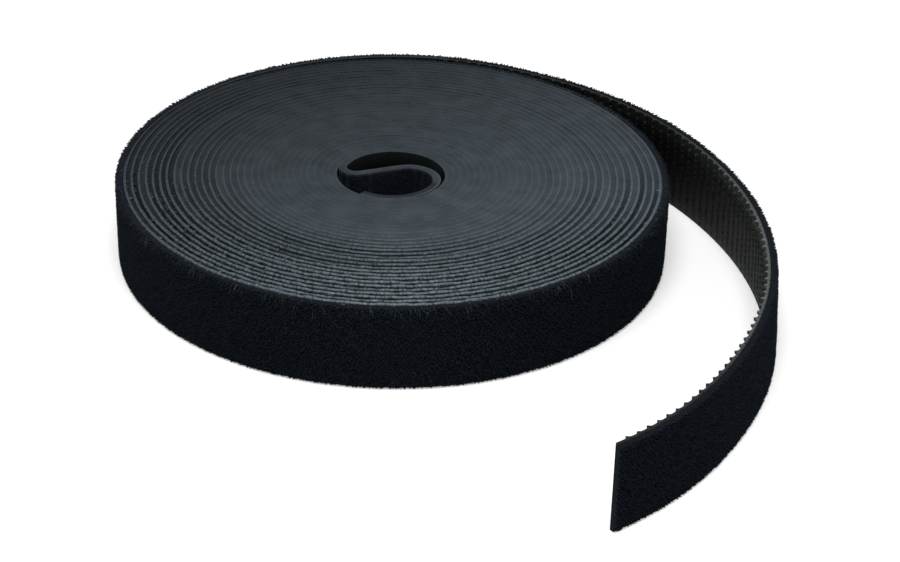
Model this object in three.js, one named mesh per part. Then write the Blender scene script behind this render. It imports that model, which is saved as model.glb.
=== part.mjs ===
// A roll of back-to-back hook and loop tape, lying flat, with its outer end peeled off as a curved tail.
// Two webs are bonded back to back: a moulded hook web, which faces the axis of the roll, and a brushed
// loop web, which faces out. Millimetres, +Z up. The origin is on the table, in the middle of the eye, where
// the S of the inner end crosses it.
import * as THREE from 'three';

// Tape: its width, and its layers from the hook side to the loop side
const TAPE_WIDTH = 12.7;
const HOOK_WEB = 0.3;
const BOND_LINE = 0.12;
const LOOP_WEB = 0.5; // pile pressed down between the turns
const LOOP_FREE = 1.0; // pile standing free on the tail
const INTERLOCK = 0.46; // room between two turns, where hooks and loops engage

// Hooks of the tail: each upright row of hooks is one rib
const HOOK_HEIGHT = 0.75;
const HOOK_PITCH = 1.9;
const HOOK_ROOT = 0.8;
const HOOK_TIP = 0.5;
const HOOK_CLEARANCE = 0.8; // between the hooks and the pile that they have just left

// Roll: place of its axis, outer radius at the end of its last turn, and how that end lifts before it leaves
const AXIS_Y = -0.55;
const ROLL_RADIUS = 40.9;
const PEEL_ANGLE = 66.8; // degrees, where the tail leaves the roll
const LIFT_ARC = 90; // degrees of the last turn over which it lifts off
const STEPS_PER_TURN = 18;
const OUTER_STEPS = 44; // steps of the last turn, whose wall shows

// Eye: the hollow middle, which the inner end of the tape crosses as an S
const EYE_RADIUS = 7.45;
const EYE_OFFSET_X = -0.3; // from the axis: the turns near the eye lie a little to the left and the front
const EYE_OFFSET_Y = -1.3;
const S_TILT = 16.5; // degrees, slope of the straight run through the origin
const S_BEND_LEFT = 2.0;
const S_BEND_RIGHT = 3.0;
const FREE_END_SLACK = 0.75; // between the turned-back inner end and the first turn
const FREE_END_ARC = 120; // degrees that the inner end runs along the front of the eye

// Tail: equal lengths of tape, each with its own bend in degrees, joined by flexing lines
const TAIL_LENGTH = 19.0;
const TAIL_BENDS = [17.7, 19.4, 15.5, 16.3, 16.7, 14.1, 20.0];
const FLEX_GAP = 0.4;
const TAIL_STEPS = 5;

// Offsets from the line that the tape follows, which is the middle of the pressed loop web
const LOOP_IN = -LOOP_WEB / 2;
const HOOK_OUT = LOOP_IN - BOND_LINE;
const HOOK_IN = HOOK_OUT - HOOK_WEB;
const LOOP_OUT = LOOP_WEB / 2;
const LOOP_FREE_OUT = LOOP_IN + LOOP_FREE;
const LEAST_PITCH = LOOP_OUT - HOOK_IN + INTERLOCK;
const LIFT = HOOK_HEIGHT + HOOK_CLEARANCE - INTERLOCK;

const radians = THREE.MathUtils.degToRad;
const STEP_ANGLE = (2 * Math.PI) / STEPS_PER_TURN;

const hookMaterial = new THREE.MeshStandardMaterial({ color: 0x3a3d42, roughness: 0.62, metalness: 0 });
const loopMaterial = new THREE.MeshStandardMaterial({ color: 0x101218, roughness: 0.95, metalness: 0 });

// A point of the route with the direction that the tape heads in there
function station(x, y, heading) {
  return { x, y, heading };
}

// The point beside a station, to the left of its heading by the given offset
function beside(at, offset) {
  return new THREE.Vector2(at.x - Math.sin(at.heading) * offset, at.y + Math.cos(at.heading) * offset);
}

// Stations along an arc about a centre, from one angle to another, no wider apart than a step
function arcStations(centre, radius, from, to) {
  const count = Math.ceil(Math.abs(to - from) / STEP_ANGLE);
  const turn = Math.sign(to - from) * (Math.PI / 2);
  return Array.from({ length: count + 1 }, (_, i) => {
    const angle = from + ((to - from) * i) / count;
    const x = centre.x + radius * Math.cos(angle);
    const y = centre.y + radius * Math.sin(angle);
    return station(x, y, angle + turn);
  });
}

// The straight run of the S passes through the origin, and a bend at each of its ends meets the eye's wall.
// A bend's centre lies on the far side of the run on the left, and on the near side on the right.
function bendCentre(eye, wall, bend, side) {
  const along = new THREE.Vector2(Math.cos(radians(S_TILT)), Math.sin(radians(S_TILT)));
  const across = new THREE.Vector2(-along.y, along.x);
  const height = side * bend - across.dot(eye);
  const reach = Math.sqrt((wall - bend) ** 2 - height ** 2);
  return eye.clone().addScaledVector(along, -side * reach).addScaledVector(across, height);
}

// The wound route: free inner end, right bend, straight run, left bend, then the turns outwards
function windingStations() {
  const axis = new THREE.Vector2(0, AXIS_Y);
  const eye = new THREE.Vector2(EYE_OFFSET_X, AXIS_Y + EYE_OFFSET_Y);
  const innerRadius = EYE_RADIUS - HOOK_IN;
  const outerRadius = ROLL_RADIUS - LOOP_OUT;
  const leftCentre = bendCentre(eye, innerRadius, S_BEND_LEFT, 1);
  const startAngle = leftCentre.clone().sub(eye).angle();

  const endFraction = (startAngle - radians(PEEL_ANGLE)) / (2 * Math.PI);
  const room = (outerRadius - innerRadius) / LEAST_PITCH;
  const turns = Math.floor(room - endFraction) + endFraction;
  const pitch = (outerRadius - innerRadius) / turns;

  const freeRadius = innerRadius - pitch / 2 - FREE_END_SLACK;
  const rightCentre = bendCentre(eye, freeRadius, S_BEND_RIGHT, -1);
  const rightAngle = rightCentre.clone().sub(eye).angle() - 2 * Math.PI;
  const acrossAngle = radians(S_TILT) + Math.PI / 2;

  const freeEnd = arcStations(eye, freeRadius, rightAngle - radians(FREE_END_ARC), rightAngle);
  const rightBend = arcStations(rightCentre, S_BEND_RIGHT, rightAngle, acrossAngle);
  const leftBend = arcStations(leftCentre, S_BEND_LEFT, acrossAngle + Math.PI, startAngle);

  const place = (share) => {
    const angle = startAngle - share * turns * 2 * Math.PI;
    const lifted = (turns * (share - 1)) / (LIFT_ARC / 360) + 1;
    const lift = LIFT * THREE.MathUtils.smoothstep(lifted, 0, 1);
    const radius = innerRadius + share * turns * pitch + lift;
    const out = new THREE.Vector2(Math.cos(angle), Math.sin(angle));
    return eye.clone().lerp(axis, share).addScaledVector(out, radius);
  };
  const covered = (turns - 1) / turns;
  const steps = Math.ceil((turns - 1) * STEPS_PER_TURN);
  const innerShares = Array.from({ length: steps }, (_, i) => (covered * (i + 1)) / steps);
  const outerShares = Array.from({ length: OUTER_STEPS }, (_, i) => covered + (i + 1) / OUTER_STEPS / turns);
  const nudge = 1e-5;
  const spiral = [...innerShares, ...outerShares].map((share) => {
    const at = place(share);
    const back = place(share - nudge);
    return station(at.x, at.y, Math.atan2(at.y - back.y, at.x - back.x));
  });
  return [...freeEnd, ...rightBend.slice(1), ...leftBend, ...spiral];
}

// The wound route as a curve whose even steps are its stations
class StationCurve extends THREE.Curve {
  constructor(stations) {
    super();
    this.stations = stations;
  }

  stationAt(t) {
    return this.stations[Math.round(t * (this.stations.length - 1))];
  }

  getPoint(t, target = new THREE.Vector3()) {
    const at = this.stationAt(t);
    return target.set(at.x, at.y, 0);
  }

  getTangent(t, target = new THREE.Vector3()) {
    const { heading } = this.stationAt(t);
    return target.set(Math.cos(heading), Math.sin(heading), 0);
  }

  getUtoTmapping(u) {
    return u;
  }
}

// One web of the wound tape, an unbroken strip that stands on its edge
function woundWeb(stations, inner, outer) {
  const section = new THREE.Shape();
  section.moveTo(0, inner);
  section.lineTo(0, outer);
  section.lineTo(-TAPE_WIDTH, outer);
  section.lineTo(-TAPE_WIDTH, inner);
  section.closePath();
  const extrudePath = new StationCurve(stations);
  return new THREE.ExtrudeGeometry(section, { steps: stations.length - 1, extrudePath });
}

// The route of one length of the tail, an arc that bends towards the roll
class TailArc {
  constructor(start, bend) {
    this.start = start;
    this.curvature = -radians(bend) / TAIL_LENGTH;
  }

  at(distance) {
    const { x, y, heading } = this.start;
    const radius = 1 / this.curvature;
    const turned = heading + distance * this.curvature;
    return station(
      x + radius * (Math.sin(turned) - Math.sin(heading)),
      y - radius * (Math.cos(turned) - Math.cos(heading)),
      turned,
    );
  }
}

// The middle of each rib of hooks along one length of the tail
function hookPlaces() {
  const room = TAIL_LENGTH - FLEX_GAP - HOOK_ROOT;
  const count = Math.max(1, Math.floor(room / HOOK_PITCH) + 1);
  const first = (TAIL_LENGTH - (count - 1) * HOOK_PITCH) / 2;
  return Array.from({ length: count }, (_, i) => first + i * HOOK_PITCH);
}

// One web of one length of the tail, drawn in plan and raised by the tape's width
function tailWeb(arc, inner, outer, hooks) {
  const from = FLEX_GAP / 2;
  const to = TAIL_LENGTH - FLEX_GAP / 2;
  const evenly = (i) => from + ((to - from) * i) / TAIL_STEPS;
  const outerSide = Array.from({ length: TAIL_STEPS + 1 }, (_, i) => beside(arc.at(evenly(i)), outer));
  const plainSide = Array.from({ length: TAIL_STEPS + 1 }, (_, i) => beside(arc.at(evenly(i)), inner));
  const tip = inner - HOOK_HEIGHT;
  const ribs = hooks.flatMap((middle) => [
    beside(arc.at(middle - HOOK_ROOT / 2), inner),
    beside(arc.at(middle - HOOK_TIP / 2), tip),
    beside(arc.at(middle + HOOK_TIP / 2), tip),
    beside(arc.at(middle + HOOK_ROOT / 2), inner),
  ]);
  const ribbedSide = [plainSide[0], ...ribs, plainSide[TAIL_STEPS]];
  const innerSide = hooks.length > 0 ? ribbedSide : plainSide;
  const outline = new THREE.Shape([...outerSide, ...innerSide.reverse()]);
  return new THREE.ExtrudeGeometry(outline, { depth: TAPE_WIDTH, bevelEnabled: false });
}

function named(name, geometry, material) {
  const mesh = new THREE.Mesh(geometry, material);
  mesh.name = name;
  return mesh;
}

// Shortest way from a point to the line between two others
function distanceToLine(point, a, b) {
  const along = b.clone().sub(a);
  const share = THREE.MathUtils.clamp(point.clone().sub(a).dot(along) / along.lengthSq(), 0, 1);
  return point.distanceTo(a.clone().addScaledVector(along, share));
}

// Least gap between faces of the wound tape that lie at least half a turn apart along it
function leastGap(stations) {
  const faces = [HOOK_IN, LOOP_OUT].map((offset) => stations.map((at) => beside(at, offset)));
  const apart = Math.round(STEPS_PER_TURN / 2);
  let least = Infinity;
  for (const face of faces) {
    for (const other of faces) {
      for (let i = apart; i < face.length; i += 1) {
        for (let j = 0; j < i - apart; j += 1) {
          least = Math.min(least, distanceToLine(face[i], other[j], other[j + 1]));
        }
      }
    }
  }
  return least;
}

const roll = new THREE.Group();
roll.name = 'hook_and_loop_tape_roll';

const wound = windingStations();
roll.add(named('winding_hook_web', woundWeb(wound, HOOK_IN, HOOK_OUT), hookMaterial));
roll.add(named('winding_loop_web', woundWeb(wound, LOOP_IN, LOOP_OUT), loopMaterial));

let tailStart = wound.at(-1);
TAIL_BENDS.forEach((bend, index) => {
  const arc = new TailArc(tailStart, bend);
  const label = `tail_${index + 1}`;
  roll.add(named(`${label}_hook_web`, tailWeb(arc, HOOK_IN, HOOK_OUT, hookPlaces()), hookMaterial));
  roll.add(named(`${label}_loop_web`, tailWeb(arc, LOOP_IN, LOOP_FREE_OUT, []), loopMaterial));
  tailStart = arc.at(TAIL_LENGTH);
});

console.log(`wound tape: least gap to itself ${leastGap(wound).toFixed(2)} mm`);

export default roll;
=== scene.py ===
"""Looks of a roll of back-to-back hook and loop tape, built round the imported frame."""

import logging
import math
from dataclasses import dataclass, field
from enum import Enum

import bmesh
import bpy
import numpy as np
from mathutils import Matrix, Vector, noise


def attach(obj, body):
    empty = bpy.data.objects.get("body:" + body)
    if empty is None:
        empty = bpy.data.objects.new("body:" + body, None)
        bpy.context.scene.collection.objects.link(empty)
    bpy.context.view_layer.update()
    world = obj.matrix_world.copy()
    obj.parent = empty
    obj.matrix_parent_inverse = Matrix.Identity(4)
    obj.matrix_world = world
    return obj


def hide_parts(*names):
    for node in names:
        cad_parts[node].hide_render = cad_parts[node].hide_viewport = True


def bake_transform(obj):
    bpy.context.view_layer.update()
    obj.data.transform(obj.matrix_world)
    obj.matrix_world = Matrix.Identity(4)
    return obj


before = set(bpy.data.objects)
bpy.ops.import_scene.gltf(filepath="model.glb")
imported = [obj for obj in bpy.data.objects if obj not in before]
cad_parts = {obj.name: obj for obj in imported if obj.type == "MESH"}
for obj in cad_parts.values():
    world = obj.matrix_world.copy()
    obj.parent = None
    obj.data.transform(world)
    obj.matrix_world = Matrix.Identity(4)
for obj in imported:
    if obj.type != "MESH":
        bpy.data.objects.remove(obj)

LOG = logging.getLogger("tape_roll")
MM = 0.001
TAPE_WIDTH = 12.7 * MM
GRAIN_DEPTH = 0.05 * MM
# Span that holds most values of a noise
NOISE_BAND = (0.3, 0.7)

Triple = tuple[float, float, float]
Material = bpy.types.Material
Socket = bpy.types.NodeSocket
Value = float | Triple | Socket


class TapeSide(Enum):
    """The two webs of the tape, by their material slot in the record."""

    HOOK = "hook_web"
    LOOP = "loop_web"


@dataclass(frozen=True)
class Wobble:
    """Seeded smooth unevenness along the tape.

    Attributes:
        size: Greatest departure, in metres or as a share.
        span: Distance between two knots of the unevenness in metres.
        seed: Seed of the knots.
    """

    size: float
    span: float
    seed: int

    def at(self, along: np.ndarray) -> np.ndarray:
        """Unevenness at places along the tape.

        Args:
            along: Distances along the tape in metres.

        Returns:
            Departures, in the unit of the size.
        """
        knots = np.random.default_rng(self.seed).uniform(-1.0, 1.0, 4096)
        place = along / self.span
        low = np.floor(place).astype(int)
        share = place - low
        ease = share * share * (3.0 - 2.0 * share)
        before = knots[low % len(knots)]
        after = knots[(low + 1) % len(knots)]
        return self.size * (before * (1.0 - ease) + after * ease)


@dataclass
class TapeRoute:
    """Line in plan that the tape follows, from its inner end to the tip of the tail.

    Left of the heading is the loop side. The line is the middle of the pressed loop web.
    """

    axis: tuple[float, float] = (0.0, -0.55 * MM)
    eye: tuple[float, float] = (-0.3 * MM, -1.85 * MM)
    first_radius: float = 7.95 * MM
    last_radius: float = 40.65 * MM
    turns_whole: int = 31
    peel_angle: float = math.radians(66.8)
    lift: float = 1.09 * MM
    lift_arc: float = math.radians(90.0)
    s_tilt: float = math.radians(20.8)
    s_rise: float = 0.19 * MM
    s_bend_left: float = 2.05 * MM
    s_bend_right: float = 4.1 * MM
    free_radius: float = 6.95 * MM
    free_spread: float = 0.40 * MM
    free_arc: float = math.radians(92.0)
    tail_heading: float = math.radians(-22.838)
    tail_step: float = 19.0 * MM
    tail_bends: tuple[float, ...] = (17.7, 19.4, 15.5, 16.3, 16.7, 14.1, 20.0)
    tail_lean: float = 0.85 * MM
    tip_more: float = 0.25 * MM
    lean_power: float = 1.6
    loose_side: float = math.radians(-101.0)
    loose_least: float = 0.04
    loose_power: float = 1.8
    spacing: float = 0.1 * MM
    drift: Wobble = Wobble(0.05 * MM, 23.0 * MM, 5)
    points: np.ndarray = field(init=False)
    along: np.ndarray = field(init=False)
    heading: np.ndarray = field(init=False)
    spiral_start: float = field(init=False)
    peel: float = field(init=False)

    def __post_init__(self) -> None:
        """Lay the whole line once, as closely spaced points."""
        inner = self._inner_end()
        spiral = self._spiral()
        tail = self._tail(spiral[-1])
        self.points = np.vstack((inner, spiral, tail))
        steps = np.linalg.norm(np.diff(self.points, axis=0), axis=1)
        self.along = np.concatenate(([0.0], np.cumsum(steps)))
        rise = np.gradient(self.points, self.along, axis=0)
        self.heading = np.unwrap(np.arctan2(rise[:, 1], rise[:, 0]))
        self.spiral_start = float(self.along[len(inner)])
        self.peel = float(self.along[len(inner) + len(spiral) - 1])

    def _bend_centre(self, wall: float, bend: float, side: int) -> np.ndarray:
        """Centre of a bend at one end of the S.

        Args:
            wall: Radius of the eye's wall that the bend meets.
            bend: Radius of the bend.
            side: 1 for the left end and -1 for the right end.

        Returns:
            Centre in plan.
        """
        eye = np.array(self.eye)
        run = np.array((math.cos(self.s_tilt), math.sin(self.s_tilt)))
        across = np.array((-run[1], run[0]))
        height = side * bend + self.s_rise - float(across @ eye)
        reach = math.sqrt((wall - bend) ** 2 - height**2)
        return eye - side * reach * run + height * across

    def _arc(self, centre: np.ndarray, radius: float, start: float, end: float) -> np.ndarray:
        """Points of an arc, without its last one.

        Args:
            centre: Centre in plan.
            radius: Radius in metres.
            start: First angle.
            end: Last angle.

        Returns:
            Points in plan.
        """
        count = math.ceil(abs(end - start) * radius / self.spacing)
        angle = np.linspace(start, end, count, endpoint=False)
        return centre + radius * np.column_stack((np.cos(angle), np.sin(angle)))

    def _start_angle(self) -> float:
        """Angle about the eye at which the S meets the first turn."""
        centre = self._bend_centre(self.first_radius, self.s_bend_left, 1) - np.array(self.eye)
        return math.atan2(centre[1], centre[0])

    def _inner_end(self) -> np.ndarray:
        """Free end, right bend, straight run and left bend of the S.

        Returns:
            Points in plan.
        """
        eye = np.array(self.eye)
        left = self._bend_centre(self.first_radius, self.s_bend_left, 1)
        right = self._bend_centre(self.free_radius, self.s_bend_right, -1)
        right_angle = math.atan2(right[1] - eye[1], right[0] - eye[0])
        across = self.s_tilt + math.pi / 2
        free = self._arc(eye, self.free_radius, right_angle - self.free_arc, right_angle)
        pressed = np.linspace(1.0, 0.0, len(free))
        pressed = 1.0 - (1.0 - pressed) ** 2
        free = eye + (free - eye) * (1.0 + self.free_spread / self.free_radius * pressed)[:, None]
        first = self._arc(right, self.s_bend_right, right_angle, across)
        last = self._arc(left, self.s_bend_left, across + math.pi, self._start_angle())
        run_from = right + self.s_bend_right * np.array((math.cos(across), math.sin(across)))
        count = math.ceil(np.linalg.norm(last[0] - run_from) / self.spacing)
        share = np.linspace(0.0, 1.0, count, endpoint=False)[:, None]
        straight = run_from + share * (last[0] - run_from)
        return np.vstack((free, first, straight, last))

    def _spiral(self) -> np.ndarray:
        """The turns, from the S to the line where the tail peels off.

        Returns:
            Points in plan.
        """
        start = self._start_angle()
        turns = self.turns_whole + (start - self.peel_angle) / math.tau
        count = math.ceil(turns * math.pi * (self.first_radius + self.last_radius) / self.spacing)
        share = np.linspace(0.0, 1.0, count)
        angle = start - share * turns * math.tau
        lifted = np.clip(1.0 - turns * (1.0 - share) * math.tau / self.lift_arc, 0.0, 1.0)
        radius = self.first_radius + share * (self.last_radius - self.first_radius)
        radius += self.lift * lifted * lifted * (3.0 - 2.0 * lifted)
        length = share * turns * math.pi * (self.first_radius + radius)
        settled = np.clip((share * turns - 1.0) / 2.0, 0.0, 1.0)
        settled *= np.clip((1.0 - share) * turns - 0.6, 0.0, 1.0)
        radius += settled * self.drift.at(length)
        centre = np.outer(1.0 - share, self.eye) + np.outer(share, self.axis)
        return centre + radius[:, None] * np.column_stack((np.cos(angle), np.sin(angle)))

    def _tail(self, start: np.ndarray) -> np.ndarray:
        """Points of the peeled tail.

        Args:
            start: Point in plan where the tail leaves the roll.

        Returns:
            Points in plan, without the first one.
        """
        count = round(self.tail_step / self.spacing)
        step = self.tail_step / count
        turning = np.repeat(-np.radians(self.tail_bends) / count, count)
        turning = np.append(turning, np.repeat(turning[-1], round(self.tip_more / step)))
        heading = self.tail_heading + np.cumsum(turning) - turning / 2
        moves = step * np.column_stack((np.cos(heading), np.sin(heading)))
        return start + np.cumsum(moves, axis=0)

    @property
    def tip(self) -> float:
        """Distance along the tape of the tail's tip."""
        return float(self.along[-1])

    def hinge(self, number: int) -> float:
        """Distance along the tape of a flexing line, the peel line being number 1."""
        return self.peel + (number - 1) * self.tail_step

    def loose_at(self, along: np.ndarray, tight: float, loose: float) -> np.ndarray:
        """How loosely the turns lie, which is most at the front of the outer turns.

        Args:
            along: Distances along the tape.
            tight: Radius within which the turns lie tight.
            loose: Radius from which they lie loose.

        Returns:
            Shares from 0 to 1.
        """
        x = np.interp(along, self.along, self.points[:, 0]) - self.axis[0]
        y = np.interp(along, self.along, self.points[:, 1]) - self.axis[1]
        radius = np.hypot(x, y)
        toward = math.cos(self.loose_side) * x + math.sin(self.loose_side) * y
        front = np.clip(0.5 + 0.5 * toward / radius, 0.0, 1.0)
        share = self.loose_least + (1.0 - self.loose_least) * front**self.loose_power
        return np.clip((radius - tight) / (loose - tight), 0.0, 1.0) * share

    def lean_at(self, along: np.ndarray) -> np.ndarray:
        """How far the tail's top edge leans to the hook side, past its bottom edge."""
        share = np.clip((along - self.peel) / (self.tip - self.peel), 0.0, 1.0)
        return self.tail_lean * np.sin(math.pi * share**self.lean_power) ** 2

    def heading_at(self, along: float) -> float:
        """Direction of the tape at one place."""
        return float(np.interp(along, self.along, self.heading))

    def place(self, flat: np.ndarray) -> np.ndarray:
        """Wind points of the flat tape onto the route.

        Args:
            flat: Rows of distance along, offset to the loop side and height.

        Returns:
            Rows of x, y and z.
        """
        along, offset, height = flat.T
        heading = np.interp(along, self.along, self.heading)
        offset = offset - self.lean_at(along) * (height / TAPE_WIDTH - 0.5)
        x = np.interp(along, self.along, self.points[:, 0]) - np.sin(heading) * offset
        y = np.interp(along, self.along, self.points[:, 1]) + np.cos(heading) * offset
        return np.column_stack((x, y, height))


@dataclass(frozen=True)
class PaintedLight:
    """Painted light: a factor on the colour that is highest on one side of the part and lowest, as
    painted shade, on the other.

    Attributes:
        side: Direction of the side that is painted lighter.
        reach: Distances in that direction between which the painted light rises.
        levels: Least and greatest factor on the colour, the least being painted shade.
    """

    side: Triple = (0.6, -0.8, 0.0)
    reach: tuple[float, float] = (-0.035, 0.030)
    levels: tuple[float, float] = (0.25, 1.24)


class Shader:
    """A node material while it is put together."""

    def __init__(self, name: str) -> None:
        """Start a material.

        Args:
            name: Name of the material.
        """
        self.material = bpy.data.materials.new(name)
        self.material.use_nodes = True
        self.tree = self.material.node_tree
        self.surface = self.tree.nodes["Principled BSDF"].inputs

    def feed(self, target: Socket, value: Value) -> None:
        """Join an output to an input, or give the input a number or colour.

        Args:
            target: The input.
            value: Output, number or colour.
        """
        if isinstance(value, Socket):
            self.tree.links.new(value, target)
        elif target.type == "RGBA":
            target.default_value = (*value, 1.0)
        else:
            target.default_value = value

    def node(
        self, kind: str, output: "int | str", inputs: "dict[int | str, Value]", **settings: str
    ) -> Socket:
        """Add a node.

        Args:
            kind: Node type without its prefix.
            output: Name or number of the output that is wanted.
            inputs: What each input gets, by name or number.
            settings: Properties of the node.

        Returns:
            The output.
        """
        made = self.tree.nodes.new(f"ShaderNode{kind}")
        for name, value in settings.items():
            setattr(made, name, value)
        for name, value in inputs.items():
            self.feed(made.inputs[name], value)
        return made.outputs[output]

    def dress(self, **values: Value) -> None:
        """Give inputs of the surface their values, by names with underscores for spaces."""
        for name, value in values.items():
            self.feed(self.surface[name.replace("_", " ")], value)

    def place(self) -> Socket:
        """The object's own coordinates."""
        return self.node("TexCoord", "Object", {})

    def tape(self) -> Socket:
        """Distance along the tape and height across it."""
        return self.node("UVMap", "UV", {}, uv_map="tape")

    def mark(self, name: str) -> Socket:
        """A number that the piece keeps for each of its points."""
        return self.node("Attribute", "Fac", {}, attribute_name=name)

    def noise(self, scale: float, detail: float) -> Socket:
        """Noise over the object's own coordinates, of so many features per metre."""
        inputs = {"Vector": self.place(), "Scale": scale, "Detail": detail}
        return self.node("TexNoise", "Fac", inputs)

    def streaks(self, across: float, up: float) -> Socket:
        """Noise that is drawn out along or across the tape.

        Args:
            across: Size of a streak along the tape in metres.
            up: Size of a streak across the tape's width in metres.

        Returns:
            The noise's value.
        """
        scale = (1.0 / across, 1.0 / up, 1.0)
        spot = self.node("Mapping", "Vector", {"Vector": self.tape(), "Scale": scale})
        return self.node("TexNoise", "Fac", {"Vector": spot, "Scale": 1.0, "Detail": 4.0})

    def blotches(self) -> Socket:
        """Soft lighter and darker patches that run across several turns."""
        return self.span(self.noise(330.0, 2.0), (*NOISE_BAND, 0.82, 1.18))

    def painted_light_factor(self, painted_light: PaintedLight) -> Socket:
        """Painted light: factor on a colour that is highest on the side the light is painted on and
        lowest, as painted shade, on the other.

        Args:
            painted_light: Side, reach and levels of the painted light.

        Returns:
            The factor.
        """
        inputs = {0: self.place(), 1: painted_light.side}
        toward = self.node("VectorMath", "Value", inputs, operation="DOT_PRODUCT")
        return self.span(toward, (*painted_light.reach, *painted_light.levels))

    def maths(self, operation: str, *values: "float | Socket") -> Socket:
        """Result of one operation on numbers."""
        return self.node("Math", 0, dict(enumerate(values)), operation=operation)

    def slit(self, depth: float, full: float = 0.3) -> Socket:
        """How near a place is to one of the tape's two slit edges.

        Args:
            depth: Distance from the edge in metres at which the value has faded to 0.
            full: Share of that distance within which the value is 1.

        Returns:
            1 at an edge and 0 on the rest of the width.
        """
        half = TAPE_WIDTH / 2
        height = self.node("SeparateXYZ", "Y", {"Vector": self.tape()})
        away = self.maths("ABSOLUTE", self.maths("SUBTRACT", height, half))
        return self.span(away, (half - depth, half - full * depth, 0.0, 1.0))

    def span(self, value: Socket, ends: tuple[float, float, float, float]) -> Socket:
        """Map a value from one span to another, with clamping.

        Args:
            value: The value.
            ends: From low, from high, to low and to high.

        Returns:
            The mapped value.
        """
        return self.node("MapRange", "Result", {"Value": value, **dict(enumerate(ends, 1))})

    def between(self, share: Socket, first: "float | Socket", second: Socket) -> Socket:
        """A number between two others, by the share of the second."""
        return self.node("Mix", 0, {"Factor": share, 2: first, 3: second}, data_type="FLOAT")

    def blend(self, share: Socket, first: "Triple | Socket", second: "Triple | Socket") -> Socket:
        """A colour between two others, by the share of the second."""
        return self.node("Mix", 2, {"Factor": share, 6: first, 7: second}, data_type="RGBA")

    def shaded(self, colour: "Triple | Socket", shade: Socket) -> Socket:
        """A colour made lighter and darker by a factor."""
        return self.node("VectorMath", 0, {0: colour, "Scale": shade}, operation="SCALE")

    def bumps(self, scale: float, depth: float, strength: float) -> Socket:
        """Normal of a surface with a fine grain.

        Args:
            scale: Grains per metre.
            depth: Depth in metres.
            strength: Strength of the effect.

        Returns:
            The normal.
        """
        height = self.noise(scale, 3.0)
        inputs = {"Height": height, "Distance": depth, "Strength": strength}
        return self.node("Bump", "Normal", inputs)


@dataclass(frozen=True)
class FilmFinish:
    """Moulded hook film: satin plastic whose slit edges are paler, with painted light on its faces
    near the edges and on one side of the part.

    Attributes:
        name: Name of the material.
        face: Colour of the film's faces.
        edge: Colour of its slit edges.
        painted_light: Painted light, lighter on one side of the part and darker on the other.
        dull: Roughness of the faces.
        shine: Least and greatest roughness of the edges.
        gloss: Specular level.
        edge_depth: Depth of the edge's colour.
        edge_light_depth: Distance from either edge over which a face is painted lighter, as painted
            light.
        edge_light: Factor on a face's colour far from the edge, where it is painted shade, and at the
            edge, where it is painted light.
        streak: Size of a streak along the tape and across it.
        mottle: Least and greatest factor of the streaks: random tone, whose brightest streaks are
            painted glints.
    """

    name: str
    face: Triple
    edge: Triple
    painted_light: PaintedLight = PaintedLight()
    dull: float = 0.65
    shine: tuple[float, float] = (0.20, 0.36)
    gloss: float = 0.16
    edge_depth: float = 0.20 * MM
    edge_light_depth: float = 2.2 * MM
    edge_light: tuple[float, float] = (0.8, 2.2)
    streak: tuple[float, float] = (0.40 * MM, 0.8 * MM)
    mottle: tuple[float, float] = (0.25, 3.6)

    def material(self) -> Material:
        """Make the material of the hook film and its hooks.

        Returns:
            The material.
        """
        shader = Shader(self.name)
        slit = shader.slit(self.edge_depth)
        # Painted light: a face is lighter near either slit edge and darker further in, which is
        # painted shade.
        edge_light = shader.span(shader.slit(self.edge_light_depth), (0.0, 1.0, *self.edge_light))
        colour = shader.blend(slit, shader.shaded(self.face, edge_light), self.edge)
        # Random tone where the turns lie loose; its brightest streaks stand in for glints as painted
        # highlights.
        mottle = shader.span(shader.streaks(*self.streak), (*NOISE_BAND, *self.mottle))
        shade = shader.between(shader.mark("packed"), mottle, shader.blotches())
        # Painted light: lighter on one side of the part and darker, as painted shade, on the other.
        shade = shader.maths("MULTIPLY", shade, shader.painted_light_factor(self.painted_light))
        shine = shader.span(shader.noise(500.0, 3.0), (*NOISE_BAND, *self.shine))
        shader.dress(
            Base_Color=shader.shaded(colour, shade),
            Roughness=shader.between(slit, self.dull, shine),
            Specular_IOR_Level=self.gloss,
            IOR=1.53,
            Normal=shader.bumps(4500.0, GRAIN_DEPTH, 0.8),
        )
        return shader.material


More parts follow.
